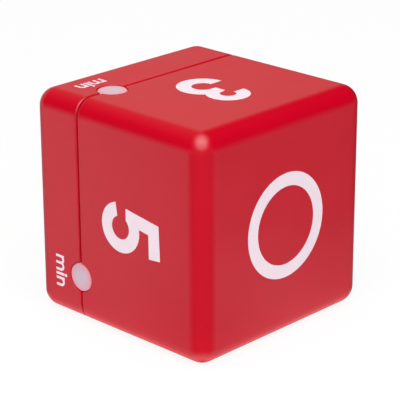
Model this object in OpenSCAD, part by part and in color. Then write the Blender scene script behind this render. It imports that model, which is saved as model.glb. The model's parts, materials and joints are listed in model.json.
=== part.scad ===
// Cube kitchen timer that is set by turning the wanted time upward.
// X runs from the rear face to the ring face, Z is up, and the origin is the middle of the underside.
// The four time faces look along +Z, -Y, -Z and +Y. Each is the one before it turned a quarter about X.

/* [Case] */
// Edge length of the cube
cube_size = 60; // [58:0.5:72]
// Radius of the rounded edges and corners
edge_r = 4.8; // [3.5:0.1:6]
// Wall of both shells
wall = 2; // [1.7:0.1:2.4]
// Width of the groove along the parting line
seam_w = 0.7; // [0.3:0.05:1]
// Height of the lip that closes the parting line from inside
lip_h = 2.5; // [1.5:0.1:3.5]
// Thickness of that lip
lip_t = 1.1; // [0.6:0.1:1.2]

/* [Indicator lenses] */
// Visible diameter of a lens
lens_d = 7.7; // [6:0.1:9]
// Distance of a lens from the middle of its face
lens_offset = 17.5; // [12:0.5:18]
// Depth of a lens below its face
lens_recess = 0.1; // [0:0.05:0.4]
// Width of the flange behind the wall
lens_flange = 1.1; // [0.6:0.1:1.4]
// Thickness of that flange
lens_flange_t = 1.2; // [0.8:0.1:1.5]
// Thickness of the keeper behind the flange
keeper_t = 1; // [0.8:0.1:1.4]

/* [Battery] */
// Diameter of an AAA cell
cell_d = 10.5; // [9.5:0.1:10.8]
// Length of an AAA cell, over its positive stud
cell_l = 44.5; // [40:0.5:45.5]
// Diameter of the positive stud
stud_d = 3.6; // [3:0.1:3.8]
// Height of the positive stud
stud_h = 1; // [0.8:0.1:1.5]
// Wall of the battery bay
bay_t = 1.2; // [1:0.1:1.6]
// Floor of the battery bay
floor_t = 1; // [0.8:0.1:1.6]
// Thickness of a contact plate
contact_t = 0.3; // [0.2:0.05:0.5]
// Edge length of a contact plate
contact_w = 8.4; // [6:0.1:9]
// Width of a contact's solder tail
tail_w = 2; // [1.2:0.1:3]
// Height of the pressed dome on a positive contact
dome_h = 0.4; // [0.3:0.05:0.8]
// Length of a contact spring with the cell in place
spring_l = 3.2; // [2.8:0.1:4]
// Wire of a contact spring
spring_wire = 0.6; // [0.4:0.05:0.7]
// Mean diameter of a spring at its plate
spring_base_d = 7.2; // [6:0.1:8]
// Mean diameter of a spring at its cell
spring_tip_d = 4.8; // [3.6:0.1:5.6]
// Turns of a contact spring
spring_turns = 2.5; // [2:0.25:3]

/* [Battery door] */
// Thickness of the door
door_t = 1.6; // [1.3:0.1:2]
// Space between the door and the cells
door_clear = 0.75; // [0.6:0.05:2]
// Gap round the door
door_gap = 0.3; // [0.2:0.05:0.5]
// Radius of the door's lower corners
door_corner_r = 1.2; // [0.6:0.1:2]
// Radius of the hinge barrel
barrel_r = 1.7; // [1.5:0.1:2]
// Radius of the pintles at the barrel's ends
pintle_r = 0.9; // [0.7:0.05:1]
// Length of a pintle
pintle_l = 1.3; // [1:0.1:1.6]
// Width of the latch tab
latch_w = 9; // [6:0.5:14]
// Height of the latch tab
latch_h = 6; // [5:0.1:8]
// Slit on each side of the latch tab
latch_slit = 0.5; // [0.3:0.1:0.8]
// Reach of the latch hook past the door's edge
hook_reach = 0.8; // [0.6:0.05:1]
// Thickness of the latch hook
hook_t = 1.2; // [0.8:0.1:1.4]

/* [Circuit board] */
// Thickness of the board
board_t = 1.2; // [0.8:0.1:1.6]
// Height of an LED above the board
led_h = 1.6; // [1.2:0.1:2]
// Width of an LED along the board's edge
led_w = 2; // [1.6:0.1:2.4]
// Depth of an LED from the board's edge
led_depth = 2.2; // [1.6:0.1:3]
// Space for solder between the board and the bay
solder_gap = 0.8; // [0.5:0.1:1.5]
// Diameter of the resin drop over the chip
chip_d = 8; // [6:0.5:9]
// Height of that drop
chip_h = 1.4; // [1:0.1:2]
// Diameter of the capacitor
cap_d = 5; // [4:0.1:6]
// Height of the capacitor
cap_h = 7; // [5:0.5:11]
// Diameter of the crystal's can
crystal_d = 2; // [1.5:0.1:3]
// Length of the crystal's can
crystal_l = 6; // [4:0.1:8]
// Length of a chip resistor
resistor_l = 2; // [1.6:0.1:3.2]
// Width of a chip resistor
resistor_w = 1.2; // [0.8:0.1:1.6]
// Distance between chip resistors
resistor_pitch = 3; // [2:0.1:4]

/* [Buzzer] */
// Diameter of the buzzer
buzzer_d = 12; // [9:0.5:12.5]
// Height of the buzzer
buzzer_h = 8.5; // [7:0.5:9]
// Wall of the buzzer's case
buzzer_wall = 0.8; // [0.6:0.1:1]
// Height of the buzzer above the middle of the rear face
buzzer_z = 20; // [19.5:0.1:20.5]
// Diameter of a sound hole
sound_hole_d = 1.6; // [1:0.1:2]
// Distance between sound holes
sound_pitch = 3.3; // [2.4:0.1:3.6]

/* [Tilt switches] */
// Diameter of a switch can
can_d = 5; // [4:0.1:6]
// Length of a switch can
can_l = 8.5; // [8:0.1:10]
// Wall of a switch can
can_wall = 0.3; // [0.2:0.05:0.4]
// Thickness of the base that closes a can
base_t = 1.5; // [1:0.1:2]
// Distance of a can's middle from the board's middle
can_place = 12; // [11.5:0.1:13.5]
// Running clearance of a ball in its can
ball_clear = 0.1; // [0.05:0.05:0.2]
// Diameter of a switch pin
pin_d = 0.5; // [0.4:0.05:0.6]

/* [Screws] */
// Distance of a case screw from the inside of the walls
screw_inset = 5.5; // [5:0.1:6]
// Diameter of a case screw
screw_d = 2.6; // [2:0.1:3]
// Length of a case screw under its head
screw_l = 18; // [15:0.5:22]
// Depth of a case screw's seat below the rear face
screw_seat = 6; // [5:0.5:8]
// Diameter of a case screw's head
head_d = 4.7; // [4:0.1:5]
// Height of a case screw's head
head_h = 1.7; // [1.4:0.1:2.2]
// Radius of the corner tubes and posts
post_r = 3.3; // [3:0.1:3.5]
// Diameter of a board screw
board_screw_d = 2; // [1.6:0.1:2.2]
// Length of a board screw under its head
board_screw_l = 6; // [4:0.5:8]
// Diameter of a board screw's head
board_head_d = 3.8; // [3.2:0.1:4.2]
// Height of a board screw's head
board_head_h = 1.2; // [1:0.1:1.6]
// Wall of the boss round a board screw
boss_wall = 1.4; // [1:0.1:1.8]
// Space between that boss and the corner tube beside it
boss_space = 3; // [1.5:0.1:4]

/* [Clearances] */
// Gap between pieces that are seated on each other
seat_gap = 0.05; // [0.02:0.01:0.1]
// Gap between the lip and its rebate, and round the lenses
fit_gap = 0.15; // [0.1:0.01:0.25]
// Gap round the cells, the board, the screw heads and the contact tails
free_gap = 0.4; // [0.3:0.05:0.5]
// Running clearance of the hinge pintles
hinge_clear = 0.05; // [0.03:0.01:0.1]

/* [Hidden] */
$fn = 64;
overcut = 1;
faces = ["top", "front", "bottom", "back"];
sides = [-1, 1];

// Case
half = cube_size / 2;
inner = cube_size - 2 * wall;
inner_r = max(edge_r - wall, 0.5);
rear_x = -half;
rear_depth = door_t + door_clear + cell_d + seat_gap + floor_t + solder_gap + board_t + led_h / 2;
part_x = rear_x + rear_depth;
rear_inside = rear_x + wall;

// Lenses
flange_r = lens_d / 2 + lens_flange;
flange_top = half - wall - seat_gap;
keeper_top = flange_top - lens_flange_t - seat_gap;

// Circuit board
board_front = part_x - led_h / 2;
board_rear = board_front - board_t;
board_half = keeper_top - keeper_t - free_gap / 2;

// Battery bay
floor_front = board_rear - solder_gap;
floor_face = floor_front - floor_t;
cell_x = floor_face - seat_gap - cell_d / 2;
cell_z = (cell_d + free_gap) / 2;
bay_half_h = cell_z + cell_d / 2 + free_gap;
bay_half_l = (cell_l + spring_l + dome_h) / 2 + contact_t + seat_gap;
tail_y = bay_half_l - contact_t / 2;

// Battery door, hinged along its upper edge
hinge_x = rear_x + barrel_r;
hinge_to_cell = barrel_r + cell_d / 2 + free_gap;
hinge_z = cell_z + sqrt(pow(hinge_to_cell, 2) - pow(cell_x - hinge_x, 2));
hinge_top = max(hinge_z + barrel_r + door_gap, bay_half_h);
door_half_w = bay_half_l - door_gap;
door_bottom = -bay_half_h + door_gap;
hook_x = rear_inside + fit_gap;
ear_x = hinge_x + barrel_r + bay_t;
dish_r = 8;
dish_depth = 1.2;
groove_w = 0.6;
groove_depth = 0.4;
grip_grooves = 3;
door_ribs = 4;
rib_w = 1.2;
rib_h = door_clear - free_gap / 2;

// Screws
screw_place = inner / 2 - screw_inset;
screw_seat_x = rear_x + screw_seat;
boss_r = board_screw_d / 2 + boss_wall;
board_screw_y = screw_place - post_r - boss_r - boss_space;
board_screw_z = screw_place - post_r;

// Tilt switches
can_x = board_front + seat_gap + can_d / 2;
bore_r = can_d / 2 - can_wall;
ball_r = bore_r - ball_clear;
bore_in = can_place - can_l / 2 + base_t;
bore_out = can_place + can_l / 2 - can_wall;
ball_in = bore_in + seat_gap + ball_r;
ball_out = bore_out - seat_gap - ball_r;
pin_bend = 1.2;
pin_spread = bore_r / 2;

// Small parts, in the corners between the switches
small_place = 0.75 * can_place;
resistor_t = resistor_w / 2;
resistor_rows = 3;
lead_r = 0.2;
rubber_h = 1;

// Buzzer, from the board towards the rear face
buzzer_r = buzzer_d / 2;
buzzer_inner_r = buzzer_r - buzzer_wall;
buzzer_base_t = 1.2;
magnet_h = 3.6;
magnet_r = buzzer_inner_r - fit_gap;
magnet_wall = 1.2;
coil_r = magnet_r - magnet_wall - free_gap;
diaphragm_t = 0.2;
collar_t = 1.2;
collar_depth = 2;

// Helpers

// Bar along X with a square section and rounded corners
module rounded_bar(x0, x1, size, r) {
    flat = size - 2 * r;
    middle = (x0 + x1) / 2;
    translate([middle, 0, 0]) cube([x1 - x0, size, flat], center = true);
    translate([middle, 0, 0]) cube([x1 - x0, flat, size], center = true);
    for (a = sides, b = sides)
        rod(x0, x1, a * flat / 2, b * flat / 2, r);
}

// Block between two corners
module block(low, high) {
    translate(low) cube(high - low);
}

// Square bar along X whose closed end has rounded edges and corners
module rounded_cup(closed_x, open_x, size, r) {
    flat = size - 2 * r;
    start = closed_x + sign(open_x - closed_x) * r;
    rounded_bar(min(start, open_x), max(start, open_x), size, r);
    block([min(closed_x, open_x), -flat / 2, -flat / 2], [max(closed_x, open_x), flat / 2, flat / 2]);
    translate([start, 0, 0])
        for (a = sides) {
            translate([0, 0, a * flat / 2]) rotate([90, 0, 0]) cylinder(r = r, h = flat, center = true);
            translate([0, a * flat / 2, 0]) cylinder(r = r, h = flat, center = true);
            for (b = sides)
                translate([0, a * flat / 2, b * flat / 2]) sphere(r = r);
        }
}

// Round rod along X
module rod(x0, x1, y, z, r) {
    translate([x0, y, z]) rotate([0, 90, 0]) cylinder(r = r, h = x1 - x0);
}

// Moves a piece to the face with the given number
module on_face(number) {
    rotate([90 * number, 0, 0]) children();
}

// Repeats a piece at the four corners of a rectangle seen along X
module at_corners(y, z) {
    for (a = sides, b = sides)
        translate([0, a * y, b * z]) children();
}

// Stands the finished piece on the ground
module stand() {
    translate([0, 0, half]) children();
}

// Shells

// Five-sided shell from its closed face to its open rim
module shell(closed_x, rim) {
    inward = sign(rim - closed_x);
    difference() {
        rounded_cup(closed_x, rim, cube_size, edge_r);
        rounded_cup(closed_x + inward * wall, rim + inward * overcut, inner, inner_r);
    }
}

// Round holes for the lens heads, half in each shell
module lens_holes() {
    for (k = [0 : 3])
        on_face(k) translate([part_x, -lens_offset, half / 2]) cylinder(r = lens_d / 2 + fit_gap, h = half);
}

module main_housing() {
    rim = part_x + seam_w / 2;
    post_end = part_x + seat_gap;
    color("crimson") difference() {
        union() {
            difference() {
                shell(half, rim);
                rebate_w = lip_t + fit_gap;
                rounded_bar(rear_x, part_x + lip_h + fit_gap, inner + 2 * rebate_w, inner_r + rebate_w);
            }
            at_corners(screw_place, screw_place) rod(post_end, half - wall / 2, 0, 0, post_r);
        }
        lens_holes();
        pilot_end = screw_seat_x + screw_l + free_gap;
        at_corners(screw_place, screw_place) rod(part_x, pilot_end, 0, 0, screw_d / 2 + seat_gap);
    }
}

// Wall and apertured plate that hold one lens flange from behind
module lens_keeper() {
    back = part_x - flange_r - seat_gap;
    reach = part_x - lens_d / 5;
    translate([0, -lens_offset, 0]) {
        block([back - keeper_t, -flange_r, keeper_top - keeper_t], [back, flange_r, half - wall / 2]);
        difference() {
            block([back - keeper_t, -flange_r, keeper_top - keeper_t], [reach, flange_r, keeper_top]);
            translate([part_x, 0, 0]) cylinder(r = lens_d / 2 - lens_flange / 2, h = half);
        }
    }
}

// Opening of the battery bay in the rear wall, seen along X, with round lower corners
module door_outline(half_w, bottom, top, r) {
    translate([-half_w, bottom + r]) square([2 * half_w, top - bottom - r]);
    translate([-half_w + r, bottom]) square([2 * (half_w - r), 2 * r]);
    for (a = sides)
        translate([a * (half_w - r), bottom + r]) circle(r = r);
}

// Lifts a flat outline in Y and Z to a plate along X
module plate(x0, x1) {
    translate([x0, 0, 0]) rotate([90, 0, 90]) linear_extrude(x1 - x0) children();
}

// Slots where the two solder tails pass
module tail_slots(x0, x1) {
    slot_half = tail_w / 2 + free_gap / 2;
    for (b = sides)
        block([x0, tail_y - contact_t / 2 - free_gap / 2, b * cell_z - slot_half],
            [x1, tail_y + contact_t / 2 + free_gap / 2, b * cell_z + slot_half]);
}

module battery_bay() {
    outer_l = bay_half_l + bay_t;
    outer_h = bay_half_h + bay_t;
    block([rear_x + wall / 2, -outer_l, -outer_h], [floor_front, outer_l, outer_h]);
    block([rear_x + wall / 2, -outer_l, 0], [ear_x, outer_l, hinge_top + bay_t]);
    for (a = sides)
        translate([0, a * (bay_half_l + pintle_l / 2 + bay_t / 2), 0])
            block([rear_x + wall / 2, -(pintle_l + bay_t) / 2, hinge_z - barrel_r],
                [ear_x, (pintle_l + bay_t) / 2, hinge_top + bay_t]);
}

module bay_cuts() {
    block([rear_inside, -bay_half_l, -bay_half_h], [floor_face, bay_half_l, bay_half_h]);
    plate(rear_x - overcut, rear_inside)
        door_outline(bay_half_l, -bay_half_h, hinge_top, door_corner_r + door_gap);
    block([rear_inside - overcut / 2, -bay_half_l, 0], [ear_x - bay_t + door_gap, bay_half_l, hinge_top]);
    pintle_reach = bay_half_l + pintle_l;
    translate([hinge_x, 0, hinge_z]) rotate([90, 0, 0])
        cylinder(r = pintle_r + hinge_clear, h = 2 * pintle_reach, center = true);
    latch_half = latch_w / 2 + free_gap;
    block([rear_inside, -latch_half, door_bottom - hook_reach - door_gap],
        [hook_x + hook_t + free_gap, latch_half, 0]);
    translate([rear_x - dish_r + dish_depth, 0, -bay_half_h]) sphere(r = dish_r);
    tail_slots(floor_face - overcut / 2, floor_front + overcut);
}

module sound_holes() {
    translate([0, 0, buzzer_z]) {
        rod(rear_x - overcut, rear_inside + overcut, 0, 0, sound_hole_d / 2);
        for (a = [0 : 60 : 300])
            rotate([a, 0, 0]) rod(rear_x - overcut, rear_inside + overcut, sound_pitch, 0, sound_hole_d / 2);
    }
}

module rear_case() {
    rim = part_x - seam_w / 2;
    collar_end = board_rear - buzzer_h + collar_depth;
    collar_r = buzzer_r + fit_gap;
    color("crimson") difference() {
        union() {
            shell(rear_x, rim);
            difference() {
                rounded_bar(rim - wall / 2, part_x + lip_h, inner + 2 * lip_t, inner_r + lip_t);
                rounded_bar(rear_x, half, inner, inner_r);
            }
            at_corners(screw_place, screw_place) rod(rear_x + wall / 2, part_x, 0, 0, post_r);
            at_corners(board_screw_y, board_screw_z) rod(rear_x + wall / 2, board_rear, 0, 0, boss_r);
            rod(rear_x + wall / 2, collar_end, 0, buzzer_z, collar_r + collar_t);
            battery_bay();
            for (k = [0 : 3])
                on_face(k) lens_keeper();
        }
        bay_cuts();
        rod(rear_inside, half, 0, buzzer_z, collar_r);
        sound_holes();
        lens_holes();
        at_corners(screw_place, screw_place) {
            rod(rear_x - overcut, screw_seat_x, 0, 0, head_d / 2 + free_gap);
            rod(rear_x, half, 0, 0, screw_d / 2 + fit_gap);
        }
        pilot_start = board_front - board_screw_l - free_gap;
        at_corners(board_screw_y, board_screw_z) rod(pilot_start, half, 0, 0, board_screw_d / 2 + seat_gap);
    }
}

// Battery door and its latch

module battery_door() {
    color("crimson") difference() {
        union() {
            plate(rear_x, rear_x + door_t) door_outline(door_half_w, door_bottom, hinge_z, door_corner_r);
            translate([hinge_x, 0, hinge_z]) rotate([90, 0, 0]) {
                cylinder(r = barrel_r, h = 2 * door_half_w, center = true);
                cylinder(r = pintle_r, h = 2 * (bay_half_l + pintle_l - seat_gap), center = true);
            }
            for (i = [0 : door_ribs - 1])
                translate([0, (i - (door_ribs - 1) / 2) * cell_l / door_ribs, 0])
                    block([rear_x + door_t / 2, -rib_w / 2, -cell_z - cell_d / 4],
                        [rear_x + door_t + rib_h, rib_w / 2, cell_z + cell_d / 8]);
        }
        tab_half = latch_w / 2 + latch_slit;
        block([rear_x - overcut, -tab_half, door_bottom - overcut],
            [rear_x + door_t + overcut, tab_half, door_bottom + latch_h]);
    }
}

module door_latch() {
    tab_half = latch_w / 2;
    color("crimson") difference() {
        union() {
            block([rear_x, -tab_half, door_bottom], [rear_x + door_t, tab_half, door_bottom + latch_h]);
            block([rear_x + door_t / 2, -tab_half, door_bottom],
                [hook_x + hook_t, tab_half, door_bottom + hook_t]);
            block([hook_x, -tab_half, door_bottom - hook_reach],
                [hook_x + hook_t, tab_half, door_bottom + hook_t / 2]);
        }
        groove_pitch = latch_h / (grip_grooves + 1);
        for (i = [1 : grip_grooves])
            translate([0, 0, door_bottom + i * groove_pitch])
                block([rear_x - overcut, -tab_half - overcut, -groove_w / 2],
                    [rear_x + groove_depth, tab_half + overcut, groove_w / 2]);
    }
}

// Screws

// Pan-head screw along X with its seat at the origin and a cross recess in its head
module screw(d, length, head, h) {
    tip = d / 2;
    cross_w = d / 4;
    cross_half = 0.3 * head;
    difference() {
        union() {
            rod(-h, 0, 0, 0, head / 2);
            rod(-h / 2, length - tip, 0, 0, d / 2);
            translate([length - tip, 0, 0]) rotate([0, 90, 0]) cylinder(r1 = d / 2, r2 = d / 8, h = tip);
        }
        block([-h - overcut, -cross_w / 2, -cross_half], [-h / 2, cross_w / 2, cross_half]);
        block([-h - overcut, -cross_half, -cross_w / 2], [-h / 2, cross_half, cross_w / 2]);
    }
}

module case_screws() {
    color("silver") at_corners(screw_place, screw_place)
        translate([screw_seat_x - seat_gap, 0, 0]) screw(screw_d, screw_l, head_d, head_h);
}

module board_screws() {
    color("silver") at_corners(board_screw_y, board_screw_z)
        translate([board_front + seat_gap, 0, 0]) mirror([1, 0, 0])
            screw(board_screw_d, board_screw_l, board_head_d, board_head_h);
}

// Circuit board and what is soldered to it

module circuit_board() {
    notch = screw_place - post_r - free_gap;
    color("darkgreen") difference() {
        block([board_rear, -board_half, -board_half], [board_front, board_half, board_half]);
        for (a = sides, b = sides)
            scale([1, a, b]) block([board_rear - overcut, notch, notch], [board_front + overcut, half, half]);
        at_corners(board_screw_y, board_screw_z)
            rod(board_rear - overcut, board_front + overcut, 0, 0, board_screw_d / 2 + fit_gap);
        tail_slots(board_rear - overcut, board_front + overcut);
    }
}

// Drop of resin: the cap of a sphere
module timer_chip() {
    ball = (pow(chip_d / 2, 2) + pow(chip_h, 2)) / (2 * chip_h);
    color("black") translate([board_front, 0, 0]) rotate([0, 90, 0])
        rotate_extrude($fn = 2 * $fn) intersection() {
            translate([0, chip_h - ball]) circle(r = ball, $fn = 4 * $fn);
            square([chip_d, chip_h]);
        }
}

module crystal() {
    crystal_r = crystal_d / 2;
    lying_x = board_front + crystal_r + seat_gap;
    color("silver") translate([lying_x, can_place, -can_place]) rotate([90, 0, 0]) {
        cylinder(r = crystal_r, h = crystal_l, center = true);
        for (b = sides)
            translate([b * crystal_r / 2, 0, crystal_l / 2]) cylinder(r = lead_r, h = crystal_r);
    }
}

module capacitor() {
    color("midnightblue") translate([board_front, -small_place, -small_place]) {
        rod(seat_gap, rubber_h, 0, 0, cap_d / 2 - free_gap);
        rod(rubber_h - seat_gap, cap_h, 0, 0, cap_d / 2);
    }
}

module resistors() {
    middle = (resistor_rows - 1) / 2;
    color("dimgray") translate([board_front + resistor_t / 2, 0, small_place])
        for (i = [0 : resistor_rows - 1], a = sides)
            translate([0, a * small_place + (i - middle) * resistor_pitch, 0])
                cube([resistor_t, resistor_w, resistor_l], center = true);
}

module led(number) {
    color("whitesmoke") on_face(number) translate([0, -lens_offset, 0]) {
        block([board_front, -led_w / 2, board_half - led_depth],
            [part_x + led_h / 2, led_w / 2, board_half - led_h / 2]);
        translate([part_x, 0, board_half - led_h / 2]) sphere(r = led_h / 2 - seat_gap);
    }
}

module lens(number) {
    rim_r = 0.4;
    color("lavender") on_face(number) translate([part_x, -lens_offset, 0]) rotate_extrude() {
        translate([0, flange_top - lens_flange_t]) square([flange_r, lens_flange_t]);
        translate([0, flange_top - lens_flange_t / 2])
            square([lens_d / 2, half - lens_recess - rim_r - flange_top + lens_flange_t / 2]);
        translate([0, half - lens_recess - 2 * rim_r]) square([lens_d / 2 - rim_r, 2 * rim_r]);
        translate([lens_d / 2 - rim_r, half - lens_recess - rim_r]) circle(r = rim_r);
    }
}

// Buzzer: cup, diaphragm, magnet ring and base, along X from the board towards the rear face

module buzzer_case() {
    top = board_rear - buzzer_h;
    color("black") difference() {
        rod(top, board_rear - seat_gap, 0, buzzer_z, buzzer_r);
        rod(top + buzzer_wall, board_rear, 0, buzzer_z, buzzer_inner_r);
        rod(top - overcut, board_rear, 0, buzzer_z, sound_hole_d / 2);
    }
}

module buzzer_base() {
    seat = board_rear - seat_gap;
    color("dimgray") {
        rod(seat - buzzer_base_t, seat, 0, buzzer_z, magnet_r);
        rod(seat - magnet_h + free_gap, seat - buzzer_base_t / 2, 0, buzzer_z, coil_r);
    }
}

module buzzer_magnet() {
    seat = board_rear - seat_gap - buzzer_base_t;
    color("gray") difference() {
        rod(seat - magnet_h, seat, 0, buzzer_z, magnet_r);
        rod(seat - magnet_h - overcut, seat + overcut, 0, buzzer_z, magnet_r - magnet_wall);
    }
}

module buzzer_diaphragm() {
    seat = board_rear - seat_gap - buzzer_base_t - magnet_h;
    color("lightsteelblue") rod(seat - diaphragm_t, seat, 0, buzzer_z, magnet_r);
}

// Ball tilt switches, one towards each time face

module tilt_can(number) {
    color("goldenrod") on_face(number) translate([can_x, 0, can_place - can_l / 2]) difference() {
        cylinder(r = can_d / 2, h = can_l);
        translate([0, 0, -overcut]) cylinder(r = bore_r, h = can_l + overcut - can_wall);
    }
}

module tilt_base(number) {
    base_bottom = can_place - can_l / 2;
    pin_r = pin_d / 2;
    color("dimgray") on_face(number) translate([can_x, 0, 0]) {
        translate([0, 0, base_bottom]) cylinder(r = bore_r - seat_gap, h = base_t);
        for (a = sides)
            translate([0, a * pin_spread, base_bottom - pin_bend]) {
                cylinder(r = pin_r, h = pin_bend + base_t / 2);
                sphere(r = pin_r);
                rod(board_front - can_x, 0, 0, 0, pin_r);
            }
    }
}

// With the cube standing as it is built, only the ball of the upper face lies on its pins
module tilt_ball(number) {
    place = number == 0 ? ball_in : ball_out;
    color("lightgray") on_face(number) translate([can_x, 0, place]) sphere(r = ball_r);
}

// Cells and contacts

// AAA cell along Y with its positive stud towards the given side
module cell(side) {
    edge = 0.5;
    positive_end = bay_half_l - contact_t - dome_h - seat_gap;
    shoulder = positive_end - stud_h;
    negative_end = positive_end - cell_l;
    scale([1, side, 1]) translate([cell_x, 0, side * cell_z]) rotate([-90, 0, 0]) {
        translate([0, 0, negative_end]) cylinder(r1 = cell_d / 2 - edge, r2 = cell_d / 2, h = edge);
        translate([0, 0, negative_end + edge])
            cylinder(r = cell_d / 2, h = shoulder - negative_end - 2 * edge);
        translate([0, 0, shoulder - edge]) cylinder(r1 = cell_d / 2, r2 = cell_d / 2 - edge, h = edge);
        translate([0, 0, shoulder - edge]) cylinder(r = stud_d / 2, h = stud_h + edge);
    }
}

module cell_upper() {
    color("slategray") cell(1);
}

module cell_lower() {
    color("slategray") cell(-1);
}

// Contact plate against the bay's end wall, with the end at side * Y
module contact_plate(side, z0, z1) {
    scale([1, side, 1])
        block([cell_x - contact_w / 2, bay_half_l - contact_t, z0], [cell_x + contact_w / 2, bay_half_l, z1]);
}

// Pressed dome that meets a positive stud
module contact_dome(side, z) {
    ball = (pow(stud_d / 2, 2) + pow(dome_h, 2)) / (2 * dome_h);
    plate_face = bay_half_l - contact_t;
    scale([1, side, 1]) intersection() {
        translate([cell_x, plate_face - dome_h + ball, z]) sphere(r = ball);
        block([cell_x - stud_d, plate_face - stud_d, z - stud_d], [cell_x + stud_d, bay_half_l, z + stud_d]);
    }
}

module solder_tail(z) {
    block([cell_x, bay_half_l - contact_t, z - tail_w / 2],
        [board_front + free_gap, bay_half_l, z + tail_w / 2]);
}

module positive_contact() {
    color("silver") {
        contact_plate(1, cell_z - contact_w / 2, cell_z + contact_w / 2);
        contact_dome(1, cell_z);
        solder_tail(cell_z);
    }
}

module negative_contact() {
    color("silver") {
        contact_plate(1, -cell_z - contact_w / 2, -cell_z + contact_w / 2);
        solder_tail(-cell_z);
    }
}

module bridge_contact() {
    color("silver") {
        contact_plate(-1, -cell_z - contact_w / 2, cell_z + contact_w / 2);
        contact_dome(-1, -cell_z);
    }
}

// Conical spring, one wire swept along a helix about Z
rings_per_turn = 8;
wire_sides = 6;
spring_rings = ceil(spring_turns * rings_per_turn);
spring_rise = spring_l - spring_wire - 2 * seat_gap;

function spring_centre(i) =
    let (t = i / spring_rings,
        r = (spring_base_d * (1 - t) + spring_tip_d * t) / 2,
        a = 360 * spring_turns * t)
    [r * cos(a), r * sin(a), seat_gap + spring_wire / 2 + spring_rise * t];

function spring_ring(i) =
    let (c = spring_centre(i),
        ahead = spring_centre(i + 1) - spring_centre(i - 1),
        out = [c[0], c[1], 0] / norm([c[0], c[1]]),
        up = cross(ahead, out) / norm(cross(ahead, out)),
        side = cross(up, ahead) / norm(cross(up, ahead)))
    [for (k = [0 : wire_sides - 1])
        c + spring_wire / 2 * (side * cos(360 * k / wire_sides) + up * sin(360 * k / wire_sides))];

spring_self_gap = min([for (i = [0 : spring_rings], j = [0 : spring_rings])
    if (j - i >= rings_per_turn / 2) norm(spring_centre(i) - spring_centre(j)) - spring_wire]);
echo(spring_self_gap = spring_self_gap);

module spring() {
    points = [for (i = [0 : spring_rings], p = spring_ring(i)) p];
    last = spring_rings * wire_sides;
    skin = [for (i = [0 : spring_rings - 1], k = [0 : wire_sides - 1])
        let (a = i * wire_sides + k,
            b = i * wire_sides + (k + 1) % wire_sides)
        each [[a, a + wire_sides, b], [b, a + wire_sides, b + wire_sides]]];
    ends = [for (k = [1 : wire_sides - 2])
        each [[0, k, k + 1], [last, last + k + 1, last + k]]];
    polyhedron(points, concat(skin, ends));
}

// Spring between a plate at side * Y and the flat end of its cell
module contact_spring(side, z) {
    translate([cell_x, side * (bay_half_l - contact_t), z]) rotate([side * 90, 0, 0]) spring();
}

module negative_spring() {
    color("silver") contact_spring(1, -cell_z);
}

module bridge_spring() {
    color("silver") contact_spring(-1, cell_z);
}

stand() main_housing();
stand() rear_case();
stand() battery_door();
stand() door_latch();
stand() case_screws();
stand() circuit_board();
stand() board_screws();
stand() timer_chip();
stand() crystal();
stand() capacitor();
stand() resistors();
stand() buzzer_case();
stand() buzzer_diaphragm();
stand() buzzer_magnet();
stand() buzzer_base();
stand() cell_upper();
stand() cell_lower();
stand() positive_contact();
stand() negative_contact();
stand() bridge_contact();
stand() negative_spring();
stand() bridge_spring();
for (k = [0 : 3]) {
    stand() lens(k);
    stand() led(k);
    stand() tilt_can(k);
    stand() tilt_base(k);
    stand() tilt_ball(k);
}
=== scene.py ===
"""Looks of the cube kitchen timer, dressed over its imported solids."""

import json
import math

import bmesh
import bpy
from mathutils import Matrix, Vector
from mathutils.geometry import tessellate_polygon


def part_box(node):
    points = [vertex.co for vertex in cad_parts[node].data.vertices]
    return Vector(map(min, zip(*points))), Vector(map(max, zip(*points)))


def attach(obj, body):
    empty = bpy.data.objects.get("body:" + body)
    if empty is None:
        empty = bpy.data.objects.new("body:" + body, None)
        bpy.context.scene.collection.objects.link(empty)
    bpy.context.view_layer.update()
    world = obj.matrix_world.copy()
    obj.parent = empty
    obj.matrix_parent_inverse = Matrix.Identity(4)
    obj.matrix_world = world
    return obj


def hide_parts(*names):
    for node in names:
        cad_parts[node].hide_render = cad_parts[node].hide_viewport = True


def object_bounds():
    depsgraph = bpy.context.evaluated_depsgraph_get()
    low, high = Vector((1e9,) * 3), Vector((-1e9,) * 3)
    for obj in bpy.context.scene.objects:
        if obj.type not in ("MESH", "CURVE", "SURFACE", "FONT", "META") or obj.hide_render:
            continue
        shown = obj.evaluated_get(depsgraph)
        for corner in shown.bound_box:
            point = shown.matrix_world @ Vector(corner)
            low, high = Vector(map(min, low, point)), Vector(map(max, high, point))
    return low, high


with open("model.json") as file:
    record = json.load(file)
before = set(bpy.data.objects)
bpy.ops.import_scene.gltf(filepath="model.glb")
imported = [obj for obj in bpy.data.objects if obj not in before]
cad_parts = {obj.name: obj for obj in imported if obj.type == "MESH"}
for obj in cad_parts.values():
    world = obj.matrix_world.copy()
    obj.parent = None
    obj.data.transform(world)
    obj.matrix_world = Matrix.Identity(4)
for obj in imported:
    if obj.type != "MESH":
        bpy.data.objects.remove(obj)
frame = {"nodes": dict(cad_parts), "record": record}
cad_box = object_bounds()

# Lengths are written in mm, and this factor turns them into the frame's metres
MM = 0.001
# Half the cube's edge, the radius of its rounded edges, and half the flat part of a face
HALF = (cad_box[1].x - cad_box[0].x) / 2 / MM
EDGE_RADIUS = 4.8
FLAT = HALF - EDGE_RADIUS
CENTRE = Vector((0, 0, HALF * MM))
LENS_RADIUS = 3.85
MATERIALS = {}


def middle_of(node):
    low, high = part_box(node)
    return (low + high) / 2


# Shader nodes

# The sockets that the Mix node uses for colours
MIX_COLOURS = (6, 7)
MIX_RESULT = 2


def wire(tree, socket, value):
    if isinstance(value, bpy.types.NodeSocket):
        tree.links.new(value, socket)
    else:
        socket.default_value = value


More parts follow.
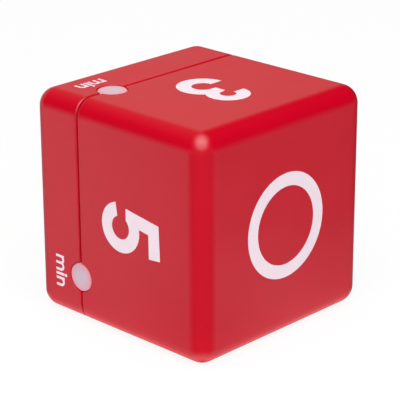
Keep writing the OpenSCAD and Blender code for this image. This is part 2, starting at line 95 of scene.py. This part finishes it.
def add(tree, kind, inputs=None, **settings):
    node = tree.nodes.new("ShaderNode" + kind)
    for key, value in settings.items():
        setattr(node, key, value)
    for key, value in (inputs or {}).items():
        wire(tree, node.inputs[key], value)
    return node


def maths(tree, operation, a, b=0.0):
    return add(tree, "Math", {0: a, 1: b}, operation=operation).outputs[0]


def noise(tree, place, scale, detail=3.0):
    return add(tree, "TexNoise", {"Vector": place, "Scale": scale, "Detail": detail}).outputs["Fac"]


# Goes from low to high while the factor goes from start to end, and no further
def between(tree, factor, low, high, start=0.3, end=0.7):
    return add(tree, "MapRange", {
        "Value": factor, "From Min": start, "From Max": end, "To Min": low, "To Max": high,
    }).outputs["Result"]


def tint(tree, factor, tone_a, tone_b):
    mix = add(tree, "Mix", {"Factor": factor}, data_type="RGBA")
    for number, tone in zip(MIX_COLOURS, (tone_a, tone_b)):
        linked = isinstance(tone, bpy.types.NodeSocket)
        wire(tree, mix.inputs[number], tone if linked else (*tone, 1))
    return mix.outputs[MIX_RESULT]


def raised(tree, shader, height, strength, depth):
    bump = add(tree, "Bump", {"Height": height, "Strength": strength, "Distance": depth * MM})
    wire(tree, shader.inputs["Normal"], bump.outputs["Normal"])


# A place as seen from the cube's middle
def from_centre(tree, place):
    return add(tree, "VectorMath", {0: place, 1: tuple(CENTRE)}, operation="SUBTRACT").outputs[0]


# How far such a place lies from the cube's three middle planes
def distances(tree, inside):
    size = add(tree, "VectorMath", {0: inside}, operation="ABSOLUTE").outputs[0]
    return add(tree, "SeparateXYZ", {0: size}).outputs


def new_material(name):
    made = bpy.data.materials.new(name)
    made.use_nodes = True
    MATERIALS[name] = made
    tree = made.node_tree
    place = add(tree, "TexCoord").outputs["Object"]
    return tree, tree.nodes["Principled BSDF"], place


# Materials


# Two near tones in soft blotches, a fine grain in gloss and height, and an optional brushed direction
def surface(name, tone_a, tone_b, rough, blotch, grain, depth, metal=0.0, stretch=(1, 1, 1)):
    tree, shader, place = new_material(name)
    brushed = add(tree, "Mapping", {"Vector": place, "Scale": stretch}).outputs["Vector"]
    soft = noise(tree, place, blotch)
    fine = noise(tree, brushed, grain, 2.0)
    wire(tree, shader.inputs["Base Color"], tint(tree, between(tree, soft, 0, 1), tone_a, tone_b))
    uneven = maths(tree, "ADD", maths(tree, "MULTIPLY", soft, 0.5), maths(tree, "MULTIPLY", fine, 0.5))
    wire(tree, shader.inputs["Roughness"], between(tree, uneven, *rough))
    shader.inputs["Metallic"].default_value = metal
    raised(tree, shader, fine, 0.6, depth)


# Satin moulded plastic: spark-eroded grain on the flats, and rubbed smoother along the cube's rounded edges.
# These are less glossy too, apart from the corners and the lips of the parting line, and their darker red is
# painted shade. On an edge, two of a place's three distances reach past the flat part, and at a corner all
# three do.
def red_plastic():
    tree, shader, place = new_material("red_plastic")
    inside = from_centre(tree, place)
    x, y, z = distances(tree, inside)
    smaller = maths(tree, "MINIMUM", x, y)
    larger = maths(tree, "MAXIMUM", x, y)
    second_largest = maths(tree, "MAXIMUM", smaller, maths(tree, "MINIMUM", larger, z))
    smallest = maths(tree, "MINIMUM", smaller, z)
    edge_start = FLAT * MM
    edge_full = (FLAT + 1.5) * MM
    edge = between(tree, second_largest, 0, 1, edge_start, edge_full)
    corner = between(tree, smallest, 0, 1, edge_start, edge_full)
    signed_x = add(tree, "SeparateXYZ", {0: inside}).outputs["X"]
    from_line = maths(tree, "ABSOLUTE", maths(tree, "SUBTRACT", signed_x, middle_of("lens_top").x))
    beside_line = between(tree, from_line, 0, 1, 0.8 * MM, 1.0 * MM)
    straight = maths(tree, "MULTIPLY", maths(tree, "SUBTRACT", edge, corner), beside_line)

    soft = noise(tree, place, 70)
    fine = noise(tree, place, 3200, 2.0)
    flat_tone = tint(tree, between(tree, soft, 0, 1), (0.585, 0.0006, 0.0150), (0.615, 0.0012, 0.0175))
    # The rounded edges and corners take a darker red: painted shade
    wire(tree, shader.inputs["Base Color"], tint(tree, edge, flat_tone, (0.545, 0.0005, 0.0138)))
    flat_rough = between(tree, soft, 0.325, 0.375)
    rubbed = maths(tree, "MULTIPLY", edge, 0.035)
    wire(tree, shader.inputs["Roughness"], maths(tree, "SUBTRACT", flat_rough, rubbed))
    shader.inputs["IOR"].default_value = 1.58
    wire(tree, shader.inputs["Specular IOR Level"], between(tree, straight, 0.5, 0.14, 0, 1))
    raised(tree, shader, fine, 0.5, 0.003)


# Screen-printed ink: nearly white, with a faint mesh of tiny thin spots
def ink():
    tree, shader, place = new_material("ink")
    fine = noise(tree, place, 5200, 2.0)
    soft = noise(tree, place, 160)
    mesh = between(tree, fine, 0, 1, 0.25, 0.6)
    wire(tree, shader.inputs["Base Color"], tint(tree, mesh, (0.89, 0.73, 0.825), (0.95, 0.815, 0.89)))
    wire(tree, shader.inputs["Roughness"], between(tree, soft, 0.36, 0.46))
    raised(tree, shader, fine, 0.4, 0.003)


# Frosted light guide, a little translucent, with red light from the case painted into its rim
def frosted():
    tree, shader, place = new_material("lens")
    middle = middle_of("lens_top")
    inside = from_centre(tree, place)
    side = distances(tree, inside)
    along = maths(tree, "SUBTRACT", add(tree, "SeparateXYZ", {0: inside}).outputs["X"], middle.x)
    across = maths(tree, "SUBTRACT", maths(tree, "MINIMUM", side["Y"], side["Z"]), abs(middle.y))
    flat = add(tree, "CombineXYZ", {"X": along, "Y": across}).outputs[0]
    radial = add(tree, "VectorMath", {0: flat}, operation="LENGTH").outputs["Value"]
    spread = between(tree, radial, 0, 1, 0.40 * LENS_RADIUS * MM, 0.96 * LENS_RADIUS * MM)
    outward = maths(tree, "MAXIMUM", side["Y"], side["Z"])
    outer = between(tree, outward, 0, 1, (HALF - 1.6) * MM, (HALF - 0.6) * MM)
    # Where red light from the case is painted into the rim's colour, fading inwards
    rim = maths(tree, "MULTIPLY", maths(tree, "POWER", spread, 1.5), outer)

    soft = noise(tree, place, 240)
    fine = noise(tree, place, 4200, 2.0)
    heart = tint(tree, between(tree, soft, 0, 1), (0.645, 0.515, 0.600), (0.685, 0.540, 0.630))
    wire(tree, shader.inputs["Base Color"], tint(tree, rim, heart, (0.87, 0.34, 0.42)))
    wire(tree, shader.inputs["Roughness"], between(tree, soft, 0.34, 0.44))
    raised(tree, shader, fine, 0.5, 0.003)
    shader.inputs["Subsurface Weight"].default_value = 0.35
    shader.inputs["Subsurface Radius"].default_value = (0.9, 0.8, 0.9)
    shader.inputs["Subsurface Scale"].default_value = 0.8 * MM


# Green solder mask over long copper runs with short links, and tinned holes here and there
def board():
    tree, shader, place = new_material("board")
    flat = add(tree, "Mapping", {"Vector": place, "Rotation": (0, math.pi / 2, 0)}).outputs["Vector"]
    black = (0, 0, 0, 1)
    white = (1, 1, 1, 1)
    bricks = {
        "Vector": flat, "Scale": 130.0, "Brick Width": 2.3, "Row Height": 0.13,
        "Mortar Size": 0.018, "Mortar Smooth": 0.2, "Color1": black, "Color2": black, "Mortar": white,
    }
    lines = add(tree, "TexBrick", bricks, offset=0.37).outputs["Color"]
    patch = between(tree, noise(tree, flat, 150, 0.0), 0, 1, 0.46, 0.48)
    runs = maths(tree, "MULTIPLY", lines, patch)
    spots = add(tree, "TexVoronoi", {"Vector": flat, "Scale": 330.0}, voronoi_dimensions="2D")
    tinned = between(tree, spots.outputs["Distance"], 1, 0, 0.10, 0.13)
    masked = tint(tree, runs, (0.012, 0.135, 0.045), (0.03, 0.23, 0.08))
    wire(tree, shader.inputs["Base Color"], tint(tree, tinned, masked, (0.52, 0.52, 0.50)))
    wire(tree, shader.inputs["Roughness"], between(tree, noise(tree, place, 300), 0.29, 0.42))
    raised(tree, shader, maths(tree, "ADD", runs, tinned), 0.4, 0.02)


red_plastic()
ink()
frosted()
board()
surface("plated_steel", (0.60, 0.60, 0.62), (0.72, 0.72, 0.73), rough=(0.28, 0.40),
        blotch=200, grain=2600, depth=0.006, metal=1.0)
surface("contact_metal", (0.68, 0.65, 0.60), (0.80, 0.77, 0.71), rough=(0.28, 0.38),
        blotch=260, grain=900, depth=0.006, metal=1.0, stretch=(1, 1, 6))
surface("resin", (0.012, 0.012, 0.013), (0.025, 0.025, 0.026), rough=(0.29, 0.42),
        blotch=400, grain=900, depth=0.02)
surface("black_plastic", (0.018, 0.018, 0.019), (0.03, 0.03, 0.031), rough=(0.40, 0.56),
        blotch=150, grain=3000, depth=0.01)
surface("capacitor_can", (0.02, 0.03, 0.10), (0.035, 0.045, 0.14), rough=(0.29, 0.38),
        blotch=200, grain=1200, depth=0.006)
surface("resistor", (0.02, 0.02, 0.022), (0.05, 0.05, 0.052), rough=(0.35, 0.50),
        blotch=900, grain=5000, depth=0.006)
surface("magnet", (0.10, 0.10, 0.11), (0.16, 0.16, 0.17), rough=(0.50, 0.68),
        blotch=500, grain=3600, depth=0.02, metal=0.6)
surface("cell", (0.10, 0.115, 0.14), (0.135, 0.15, 0.18), rough=(0.29, 0.37),
        blotch=120, grain=1800, depth=0.004)
surface("cell_band", (0.52, 0.53, 0.56), (0.60, 0.61, 0.63), rough=(0.29, 0.37),
        blotch=120, grain=1800, depth=0.004)
surface("washer", (0.02, 0.022, 0.025), (0.04, 0.042, 0.045), rough=(0.45, 0.60),
        blotch=300, grain=2400, depth=0.01)
surface("led", (0.78, 0.78, 0.72), (0.86, 0.86, 0.80), rough=(0.16, 0.26),
        blotch=900, grain=2500, depth=0.004)
surface("switch_can", (0.70, 0.52, 0.24), (0.80, 0.62, 0.32), rough=(0.28, 0.36),
        blotch=300, grain=1500, depth=0.005, metal=1.0, stretch=(8, 1, 1))
surface("ball_steel", (0.70, 0.70, 0.71), (0.80, 0.80, 0.81), rough=(0.08, 0.16),
        blotch=500, grain=2600, depth=0.002, metal=1.0)

for entry in frame["record"]["subparts"]:
    slots = frame["nodes"][entry["node"]].data.materials
    slots.clear()
    slots.append(MATERIALS[entry["material_slot"]])

# Pieces

# Angles between faces, in degrees: up to which they are merged, up to which they are shaded as one smooth
# surface, and from which their edge is rounded
MERGED_BELOW = 0.2
SMOOTH_BELOW = 35
SHARP_ABOVE = 40
# How near points lie to each other, and to a plane, to count as the same, in metres
SAME_POINT = 1e-7
SAME_PLANE = 1e-6
# How near a point lies to the cube's skin to count as on it, and to be shaded with it, in mm
ON_SKIN = 0.003
NEAR_SKIN = 0.02
# How far the edges that are rounded stay from the cube's own rounded edges, in mm
FLAT_MARGIN = 0.15


def finish_piece(name, bm, materials, body, nodes=()):
    bmesh.ops.recalc_face_normals(bm, faces=bm.faces)
    mesh = bpy.data.meshes.new(name)
    bm.to_mesh(mesh)
    bm.free()
    for each in materials:
        mesh.materials.append(MATERIALS[each])
    mesh.shade_smooth()
    mesh.set_sharp_from_angle(angle=math.radians(SMOOTH_BELOW))
    piece = bpy.data.objects.new(name, mesh)
    bpy.context.scene.collection.objects.link(piece)
    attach(piece, body)
    if nodes:
        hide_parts(*nodes)
    return piece


# Distance of a point from the skin of the rounded cube, in mm, and the skin's direction there
def skin(point):
    inside = (point - CENTRE) / MM
    past_flat = Vector([math.copysign(max(abs(c) - FLAT, 0), c) for c in inside])
    return abs(past_flat.length - EDGE_RADIUS), past_flat.normalized()


# Shades what lies on the skin as the true rounded cube, however its mesh is cut
def true_shading(mesh):
    if "custom_normal" in mesh.attributes:
        mesh.attributes.remove(mesh.attributes["custom_normal"])
    shown = [corner.vector.copy() for corner in mesh.corner_normals]
    for face in mesh.polygons:
        is_flat = max(abs(c) for c in face.normal) > 0.99999
        for corner in face.loop_indices:
            distance, out = skin(mesh.vertices[mesh.loops[corner].vertex_index].co)
            faces_out = out.dot(face.normal) > 0.9
            if distance < NEAR_SKIN and faces_out:
                shown[corner] = face.normal.copy() if is_flat else out
    mesh.normals_split_custom_set(shown)


# A CAD node with its visible sharp edges rounded as a mould rounds them. Each kind of edge has a width in mm
# and a test for its points.
def softened(name, node, body, slot, kinds):
    bm = bmesh.new()
    bm.from_mesh(frame["nodes"][node].data)
    bmesh.ops.remove_doubles(bm, verts=bm.verts, dist=SAME_POINT)
    bmesh.ops.dissolve_limit(bm, angle_limit=math.radians(MERGED_BELOW), verts=bm.verts, edges=bm.edges)
    for width, shows in kinds:
        paired = [e for e in bm.edges if len(e.link_faces) == 2]
        sharp = [e for e in paired if e.calc_face_angle() > math.radians(SHARP_ABOVE)]
        seen = [e for e in sharp if all(shows(v.co) for v in e.verts)]
        bmesh.ops.bevel(bm, geom=seen, offset=width * MM, offset_type="OFFSET", segments=3, profile=0.5,
                        affect="EDGES", clamp_overlap=False)
    piece = finish_piece(name, bm, [slot], body, [node])
    true_shading(piece.data)


def on_skin(point):
    distance, _ = skin(point)
    return distance < ON_SKIN


# The screws' recesses run a little way into the rounded edges, where their rims stay sharp
def on_flat(point):
    _, second_largest, _ = sorted(abs(c) for c in (point - CENTRE) / MM)
    return on_skin(point) and second_largest < FLAT - FLAT_MARGIN


# Test for the rim of a shell along the parting line, which is the end of its skin
def at_rim(node, end):
    rim = end(v.co.x for v in frame["nodes"][node].data.vertices if on_skin(v.co))
    return lambda point: on_skin(point) and abs(point.x - rim) < SAME_PLANE


HEAD_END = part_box("case_screws")[0].x


# Test for the outer end of the case screws' heads
def on_head(point):
    return abs(point.x - HEAD_END) < SAME_PLANE


softened("housing_shell", "main_housing", "case", "red_plastic",
         [(0.3, at_rim("main_housing", min)), (0.12, on_flat)])
softened("rear_shell", "rear_case", "case", "red_plastic",
         [(0.45, at_rim("rear_case", max)), (0.12, on_flat)])
softened("door_panel", "battery_door", "door", "red_plastic", [(0.15, on_flat)])
softened("latch_tab", "door_latch", "door", "red_plastic", [(0.12, on_flat)])
softened("screw_set", "case_screws", "case", "plated_steel", [(0.12, on_head)])

CELL_MATERIALS = ["cell", "contact_metal", "cell_band", "washer"]
CELL_SIDES = 72


# Dry cell: dished negative end, shrunk sleeve with a pale band, washer and stud, which points along Y in the
# given direction. Its outline is turned about Y. Each stretch of it has a material and points, which are a
# radius and a place along the cell, and it reaches to the first point of the next stretch.
def dry_cell(name, node, direction):
    low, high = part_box(node)
    radius = (high.x - low.x) / 2 / MM
    length = (high.y - low.y) / MM
    shoulder = length - 1
    band_start = shoulder - 9
    recess = shoulder - 0.22
    outline = {
        "end": ("contact_metal", [(0, 0.25), (3.2, 0.25), (3.6, 0.05), (3.9, 0), (4.4, 0), (4.6, 0.1)]),
        "sleeve": ("cell", [(4.75, 0.18), (4.95, 0.22), (5.12, 0.36), (radius, 0.65)]),
        "band": ("cell_band", [
            (radius, band_start), (radius, shoulder - 0.7), (5.14, shoulder - 0.36),
            (4.95, shoulder - 0.14), (4.6, shoulder - 0.02), (4.3, shoulder)]),
        "washer": ("washer", [(4.1, shoulder - 0.08), (3.9, recess)]),
        "stud": ("contact_metal", [
            (2.2, recess), (1.95, shoulder - 0.16), (1.8, shoulder), (1.8, length - 0.3),
            (1.72, length - 0.1), (1.5, length), (0, length)]),
    }
    bm = bmesh.new()
    angles = [2 * math.pi * i / CELL_SIDES for i in range(CELL_SIDES)]
    rings = []
    numbers = []
    for material, points in outline.values():
        for r, along in points:
            if r == 0:
                rings.append([bm.verts.new((0, along, 0))] * CELL_SIDES)
            else:
                rings.append([bm.verts.new((r * math.cos(a), along, r * math.sin(a))) for a in angles])
            numbers.append(CELL_MATERIALS.index(material))
    for ring, following, number in zip(rings, rings[1:], numbers):
        for i in range(CELL_SIDES):
            j = (i + 1) % CELL_SIDES
            corners = dict.fromkeys([ring[i], ring[j], following[j], following[i]])
            bm.faces.new(list(corners)).material_index = number
    middle = middle_of(node)
    start = low.y if direction > 0 else high.y
    bmesh.ops.transform(bm, verts=bm.verts, matrix=Matrix.Diagonal((MM, direction * MM, MM, 1)))
    bmesh.ops.translate(bm, verts=bm.verts, vec=(middle.x, start, middle.z))
    finish_piece(name, bm, CELL_MATERIALS, "case", [node])


dry_cell("dry_cell_upper", "cell_upper", 1)
dry_cell("dry_cell_lower", "cell_lower", -1)

WIRE_RADIUS = 0.3
WIRE_SIDES = 14
SPRING_BASE_RADIUS = 3.6
SPRING_TIP_RADIUS = 2.4
SPRING_TURNS = 2.5
STEPS_PER_TURN = 40


# Conical contact spring of round wire, from its plate at one end of Y to the flat end of its cell
def coil_spring(name, node, cell, plate_end):
    low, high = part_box(node)
    length = (high.y - low.y) / MM
    steps = int(SPRING_TURNS * STEPS_PER_TURN)
    angles = [2 * math.pi * k / WIRE_SIDES for k in range(WIRE_SIDES)]

    def wire_middle(step):
        share = step / steps
        radius = SPRING_BASE_RADIUS + (SPRING_TIP_RADIUS - SPRING_BASE_RADIUS) * share
        turn = 2 * math.pi * SPRING_TURNS * share
        height = WIRE_RADIUS + (length - 2 * WIRE_RADIUS) * share
        return Vector((radius * math.cos(turn), radius * math.sin(turn), height))

    bm = bmesh.new()
    rings = []
    for step in range(steps + 1):
        middle = wire_middle(step)
        ahead = (wire_middle(step + 1) - wire_middle(step - 1)).normalized()
        up = ahead.cross(Vector((middle.x, middle.y, 0)).normalized()).normalized()
        out = up.cross(ahead)
        spokes = [out * math.cos(a) + up * math.sin(a) for a in angles]
        rings.append([bm.verts.new(middle + WIRE_RADIUS * spoke) for spoke in spokes])
    for ring, following in zip(rings, rings[1:]):
        for k in range(WIRE_SIDES):
            j = (k + 1) % WIRE_SIDES
            bm.faces.new((ring[k], ring[j], following[j], following[k]))
    bm.faces.new(rings[0][::-1])
    bm.faces.new(rings[-1])
    turned = Matrix.Rotation(math.radians(90 * plate_end), 4, "X") @ Matrix.Scale(MM, 4)
    bmesh.ops.transform(bm, verts=bm.verts, matrix=turned)
    plate = high.y if plate_end > 0 else low.y
    axis = middle_of(cell)
    bmesh.ops.translate(bm, verts=bm.verts, vec=(axis.x, plate, axis.z))
    finish_piece(name, bm, ["contact_metal"], "case", [node])


coil_spring("coil_negative", "negative_spring", "cell_lower", 1)
coil_spring("coil_bridge", "bridge_spring", "cell_upper", -1)

# Prints


def arc(cx, cy, r, start, end, steps=28):
    turn = [math.radians(start + (end - start) * i / steps) for i in range(steps + 1)]
    return [(cx + r * math.cos(a), cy + r * math.sin(a)) for a in turn]


def circle(cx, cy, r, steps=96):
    return arc(cx, cy, r, 0, 360, steps)[:-1]


# Each numeral is a list of shapes, and a shape is an outline followed by its holes, in mm from the middle of
# the face
def three():
    upper = (-0.1, 10.1)
    lower = (0.0, 1.4)
    outline = arc(*upper, 5.7, 180, -39) + arc(*lower, 6.8, 47, -180)
    outline += arc(*lower, 2.9, -180, 90) + [(-1.6, 4.4), (-1.6, 7.6)] + arc(*upper, 2.1, -90, 180)
    return [[outline]]


def five():
    bowl = (-0.35, 1.9)
    outline = [(-4.2, 15.3), (5.0, 15.7), (5.35, 11.85), (-1.05, 11.75)]
    outline += arc(*bowl, 6.65, 100, -166) + arc(*bowl, 3.05, -160, 140) + [(-5.85, 3.9)]
    return [[outline]]


def seven():
    bar = [(-6.4, 15.6), (6.5, 15.6), (6.5, 12.9)]
    foot = [(-0.6, -5.2), (-4.9, -5.2)]
    crook = [(1.6, 11.7), (-6.4, 11.7)]
    return [[bar + foot + crook]]


def nine():
    bowl = (0.0, 8.9)
    outline = arc(*bowl, 6.7, -26, 256, 64) + [(-5.0, -5.2), (0.2, -5.2)]
    return [[outline, circle(*bowl, 2.9)]]


# The unit's letters: where they stand, how high they reach and how thick their strokes are
LETTER_BASE = -22.6
LETTER_TOP = -19.55
STROKE = 0.7
# The angle at which a letter's first arch leaves its stem, in degrees, and the steps of each arch
FIRST_ARCH_START = 118
ARCH_STEPS = 14


# Stems at the given places joined by round arches
def arches(stems):
    step = stems[1] - stems[0]
    outer = (step + STROKE) / 2
    inner = outer - STROKE
    arch_middle = LETTER_TOP - outer
    meet = math.degrees(math.acos(step / 2 / outer))
    last_arch = len(stems) - 2
    outline = [(stems[0], LETTER_BASE), (stems[0], LETTER_TOP), (stems[0] + 0.9 * STROKE, LETTER_TOP)]
    for k in range(last_arch + 1):
        first = FIRST_ARCH_START if k == 0 else 180 - meet
        last = 0 if k == last_arch else meet
        outline += arc(stems[k] + outer, arch_middle, outer, first, last, ARCH_STEPS)
    outline += [(stems[-1] + STROKE, LETTER_BASE)]
    for k in range(last_arch, -1, -1):
        outline += [(stems[k + 1], LETTER_BASE)]
        outline += arc(stems[k] + outer, arch_middle, inner, 0, 180, ARCH_STEPS)
        outline += [(stems[k] + STROKE, LETTER_BASE)]
    return [outline]


def unit():
    left = 18.3
    right = left + STROKE
    bar = [(left, LETTER_BASE), (right, LETTER_BASE), (right, LETTER_TOP), (left, LETTER_TOP)]
    dot = circle((left + right) / 2, LETTER_TOP + 0.6, 0.43, 28)
    return [arches([13.4, 15.25, 17.1]), [bar], [dot], arches([19.55, 21.45])]


# How far a print stands out of its face, and how far it reaches in
PROUD = 0.03
SUNK = 0.05


# Thin closed layers that stand just proud of a flat face
def printed(name, shapes, out, right):
    out = Vector(out)
    right = Vector(right)
    up = out.cross(right)
    bm = bmesh.new()

    def layer(points, height):
        lifted = out * (HALF + height)
        return [bm.verts.new(CENTRE + MM * (right * p.x + up * p.y + lifted)) for p in points]

    for shape in shapes:
        flat = [[Vector((u, v, 0)) for u, v in loop] for loop in shape]
        points = [p for loop in flat for p in loop]
        top = layer(points, PROUD)
        bottom = layer(points, -SUNK)
        for a, b, c in tessellate_polygon(flat):
            bm.faces.new((top[a], top[b], top[c]))
            bm.faces.new((bottom[c], bottom[b], bottom[a]))
        first = 0
        for loop in flat:
            for i in range(len(loop)):
                a = first + i
                b = first + (i + 1) % len(loop)
                bm.faces.new((top[a], top[b], bottom[b], bottom[a]))
            first += len(loop)
    finish_piece(name, bm, ["ink"], "case")


for number, numeral in enumerate((three, five, seven, nine)):
    turn = Matrix.Rotation(math.radians(90 * number), 3, "X")
    shapes = numeral() + unit()
    printed("print_" + numeral.__name__, shapes, turn @ Vector((0, 0, 1)), turn @ Vector((0, -1, 0)))
printed("print_ring", [[circle(0, 0, 13.9), circle(0, 0, 10.34)]], (1, 0, 0), (0, 1, 0))

# Stage


# Floor: white to the camera, with a trace of the object's shadow. Reflections find it grey on the camera's
# side, with painted shade close to the object and a painted shadow beneath it. Its rim round the object glows
# and throws painted light up onto the rounded lower edges.
def paper():
    camera_white = 0.90
    tree, _, place = new_material("paper")
    rays = add(tree, "LightPath").outputs
    x, y, _ = add(tree, "SeparateXYZ", {0: place}).outputs
    reach = maths(tree, "MAXIMUM", maths(tree, "ABSOLUTE", x), maths(tree, "ABSOLUTE", y))

    # Changes from low to high between two distances from the object's sides, in mm
    def around(low, high, near, far):
        return between(tree, reach, low, high, (HALF + near) * MM, (HALF + far) * MM)

    ahead = between(tree, maths(tree, "SUBTRACT", x, y), 0.25, 1.0, 20 * MM, 90 * MM)
    aside = between(tree, maths(tree, "ADD", x, y), 0.35, 0.9, 60 * MM, 150 * MM)
    # Painted shade close to the object, seen in reflections only
    close = around(0.22, 0, 5, 42)
    grey = maths(tree, "ADD", maths(tree, "MAXIMUM", ahead, aside), close)
    # Painted shadow beneath the rounded lower edges, seen in reflections only
    beneath = around(1, 0, -3.5, -1)
    grey = maths(tree, "MAXIMUM", maths(tree, "MULTIPLY", grey, around(0, 1, 0, 5)), beneath)
    mirrored = maths(tree, "MAXIMUM", rays["Is Glossy Ray"], rays["Is Transmission Ray"])
    white = between(tree, maths(tree, "MULTIPLY", mirrored, grey), 1, 0, 0, 1)
    seen = maths(tree, "MAXIMUM", maths(tree, "MULTIPLY", rays["Is Camera Ray"], camera_white), mirrored)
    # A glowing rim round the object, painted light that reaches the lower edges by bounced rays only
    rim = maths(tree, "MULTIPLY", around(1.1, 0, 0, 8), around(0, 1, -3.5, -1))
    lift = maths(tree, "MULTIPLY", rays["Is Diffuse Ray"], rim)

    diffuse = add(tree, "BsdfDiffuse", {"Color": (0.92, 0.92, 0.92, 1)}).outputs[0]
    glow = add(tree, "Emission", {"Strength": white}).outputs[0]
    upward = add(tree, "Emission", {"Strength": lift}).outputs[0]
    mixed = add(tree, "MixShader", {0: seen, 1: diffuse, 2: glow}).outputs[0]
    lifted = add(tree, "AddShader", {0: mixed, 1: upward}).outputs[0]
    wire(tree, tree.nodes["Material Output"].inputs["Surface"], lifted)


# Room: a pale backdrop behind the object, a bright ceiling, and dark on the camera's side. The camera sees it
# white.
def studio():
    world = bpy.data.worlds.new("studio")
    world.use_nodes = True
    tree = world.node_tree
    looking = add(tree, "TexCoord").outputs["Generated"]

    # Light that grows with how nearly a direction of the room faces the given one
    def shine(direction, colour, strength, start, end):
        towards = add(tree, "VectorMath", {0: looking, 1: direction}, operation="DOT_PRODUCT")
        level = between(tree, towards.outputs["Value"], 0, strength, start, end)
        return add(tree, "VectorMath", {0: colour, "Scale": level}, operation="SCALE").outputs["Vector"]

    backdrop = shine((-0.905, 0.302, 0.302), (1, 0.985, 0.86), 0.43, 0.68, 0.90)
    ceiling = shine((0.15, -0.145, 0.978), (1, 1, 1), 2.75, 0.74, 1.0)
    light = add(tree, "VectorMath", {0: backdrop, 1: ceiling}, operation="ADD").outputs["Vector"]
    camera_ray = add(tree, "LightPath").outputs["Is Camera Ray"]
    wire(tree, tree.nodes["Background"].inputs["Color"], tint(tree, camera_ray, light, (1, 1, 1)))
    return world


# Round lamp in a direction from the object, with its distance and diameter in metres
def softbox(name, direction, distance, size, power):
    lamp = bpy.data.lights.new(name, "AREA")
    lamp.shape = "DISK"
    lamp.size = size
    lamp.energy = power
    holder = bpy.data.objects.new(name, lamp)
    bpy.context.scene.collection.objects.link(holder)
    holder.location = CENTRE + Vector(direction).normalized() * distance
    holder.rotation_euler = Vector(direction).to_track_quat("Z", "Y").to_euler()


# The floor's width in metres, and how far it lies below the object in mm
FLOOR_SIZE = 6
FLOOR_GAP = 0.05

paper()
bpy.ops.mesh.primitive_plane_add(size=FLOOR_SIZE, location=(0, 0, -FLOOR_GAP * MM))
floor = bpy.context.object
floor.name = "floor"
floor.data.materials.append(MATERIALS["paper"])
bpy.context.scene.world = studio()
softbox("key", (0.50, -0.48, 0.721), distance=0.8, size=0.96, power=5.2)

# Camera

# The photograph's view: the camera's place, its direction from the object, its roll and its focal length
CAMERA_PLACE = Vector((309.935, -319.601, 197.362))
AZIMUTH = math.radians(44.094)
ELEVATION = math.radians(20.722)
ROLL = math.radians(-0.222)
FOCAL_LENGTH = 165.13
SENSOR_WIDTH = 36

level = Vector((math.sin(AZIMUTH), -math.cos(AZIMUTH), 0))
back = math.cos(ELEVATION) * level + math.sin(ELEVATION) * Vector((0, 0, 1))
right = Vector((math.cos(AZIMUTH), math.sin(AZIMUTH), 0))
above = back.cross(right)
rolled_right = math.cos(ROLL) * right + math.sin(ROLL) * above
rolled_above = math.cos(ROLL) * above - math.sin(ROLL) * right
aim = Matrix((rolled_right, rolled_above, back)).transposed().to_4x4()
view = bpy.data.cameras.new("view")
view.lens = FOCAL_LENGTH
view.sensor_width = SENSOR_WIDTH
camera = bpy.data.objects.new("view", view)
bpy.context.scene.collection.objects.link(camera)
camera.matrix_world = Matrix.Translation(CAMERA_PLACE * MM) @ aim
bpy.context.scene.camera = camera
bpy.context.scene.view_settings.view_transform = "Standard"
